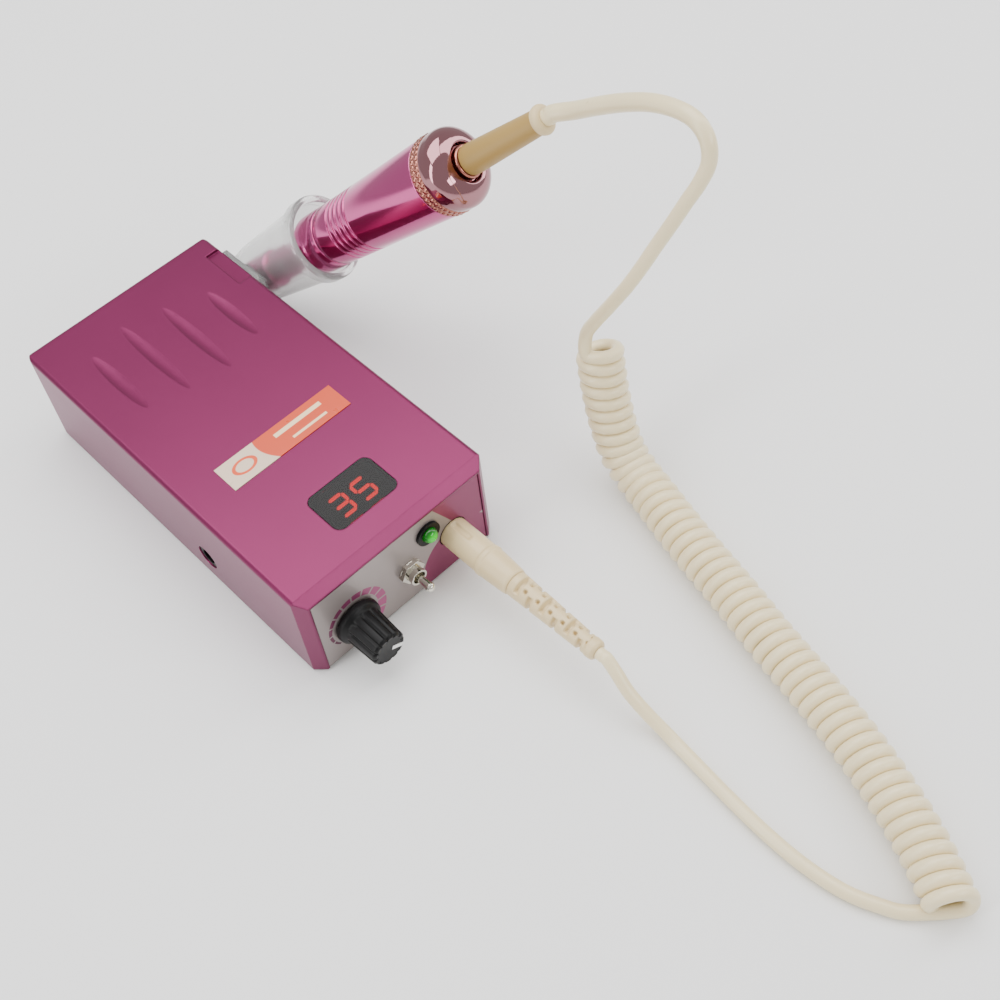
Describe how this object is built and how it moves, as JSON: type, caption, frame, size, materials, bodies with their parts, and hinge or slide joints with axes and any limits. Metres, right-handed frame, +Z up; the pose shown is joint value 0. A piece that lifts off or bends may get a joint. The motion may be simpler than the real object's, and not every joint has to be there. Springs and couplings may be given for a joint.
{
  "type": "electric nail drill",
  "caption": "Portable electric nail drill: pink control box with speed knob, toggle and display, a handpiece resting in a clear side cup, and a curly cord.",
  "frame": {"origin": "middle of the control box's flat underside, between its rubber feet", "axes": "+X to the right of the front panel, +Y from the front panel to the back, +Z up"},
  "size_m": [0.1482, 0.3362, 0.1415],
  "materials": {
    "pink_paint": "satin metallic magenta-pink",
    "pink_anodised": "glossy anodised pink metal",
    "pink_bright": "mirror-bright pink metal",
    "copper_metal": "bright copper-pink plated metal",
    "silver_print": "satin silver with mauve-pink printed areas",
    "black_plastic": "semi-matt black plastic",
    "smoked_window": "black glossy smoked window",
    "red_light": "lit red display bars",
    "green_light": "translucent green lens",
    "label_print": "orange and cream printed label",
    "board_green": "green circuit board",
    "cell_wrap": "blue shrink wrap",
    "grey_plastic": "grey moulded plastic",
    "white_plastic": "cream-white moulded plastic",
    "knob_line": "white paint",
    "bright_steel": "bright plated steel",
    "brushed_steel": "ground steel",
    "dark_magnet": "dark sintered magnet",
    "carbon": "carbon",
    "copper": "copper",
    "gold": "gold plate",
    "rubber": "black rubber",
    "clear_plastic": "clear glossy plastic",
    "cord_cream": "soft cream-white jacket",
    "plug_cream": "warm cream moulded plastic",
    "relief_khaki": "khaki-beige flexible sleeve"
  },
  "bodies": {
    "control_box": {"top_shell": "pink_paint", "bottom_cover": "pink_paint", "case_screws": "bright_steel", "rubber_feet": "rubber", "front_panel": "silver_print", "display_window": "smoked_window", "display_module": "black_plastic", "display_digits": "red_light", "label": "label_print", "control_board": "board_green", "battery_cells": "cell_wrap", "battery_tray": "grey_plastic", "charge_socket": "black_plastic", "charge_pin": "bright_steel", "potentiometer": "grey_plastic", "potentiometer_nut": "bright_steel", "toggle_switch": "bright_steel", "toggle_nut": "bright_steel", "lamp_bezel": "black_plastic", "green_lamp": "green_light", "cord_socket": "black_plastic", "socket_contacts": "gold", "handpiece_cup": "clear_plastic", "cup_plate": "clear_plastic", "upper_lead": "cord_cream", "curly_cord": "cord_cream", "plug_lead": "cord_cream", "cord_plug": "plug_cream", "plug_pins": "gold", "plug_relief": "plug_cream"},
    "handpiece": {"handpiece_barrel": "pink_anodised", "vent_band": "copper_metal", "rear_cap": "pink_bright", "nose_housing": "pink_anodised", "motor_can": "brushed_steel", "motor_magnets": "dark_magnet", "brush_holder": "white_plastic", "carbon_brushes": "carbon", "front_bearings": "bright_steel", "rear_bearing": "bright_steel", "rear_gland": "copper_metal", "handpiece_relief": "relief_khaki"},
    "spindle_group": {"spindle": "brushed_steel", "collet": "brushed_steel", "chuck_spring": "brushed_steel", "motor_rotor": "copper", "commutator": "copper"},
    "chuck_lock": {"lock_ring": "pink_anodised"},
    "speed_dial": {"speed_knob": "black_plastic", "knob_pointer": "knob_line", "potentiometer_shaft": "brushed_steel"},
    "direction_lever": {"toggle_lever": "bright_steel"}
  },
  "joints": [
    {"name": "handpiece_lift", "type": "slide", "parent": "control_box", "child": "handpiece", "axis": [0.3584, -0.6828, 0.6367], "range_m": [0, 0.065], "deforming": ["upper_lead"]},
    {"name": "chuck_turn", "type": "hinge", "parent": "handpiece", "child": "chuck_lock", "pos_m": [0.0465, 0.0685, 0.0105], "axis": [0.3584, -0.6828, 0.6367], "range_deg": [0, 60]},
    {"name": "spindle_spin", "type": "hinge", "parent": "handpiece", "child": "spindle_group", "pos_m": [0.0465, 0.0685, 0.0105], "axis": [0.3584, -0.6828, 0.6367], "continuous": true},
    {"name": "speed_dial_turn", "type": "hinge", "parent": "control_box", "child": "speed_dial", "pos_m": [-0.0205, -0.073, 0.0133], "axis": [0, 1, 0], "range_deg": [-250, 0]},
    {"name": "direction_toggle", "type": "hinge", "parent": "control_box", "child": "direction_lever", "pos_m": [0.0024, -0.0743, 0.0152], "axis": [0, 0, 1], "range_deg": [-12, 12]}
  ]
}
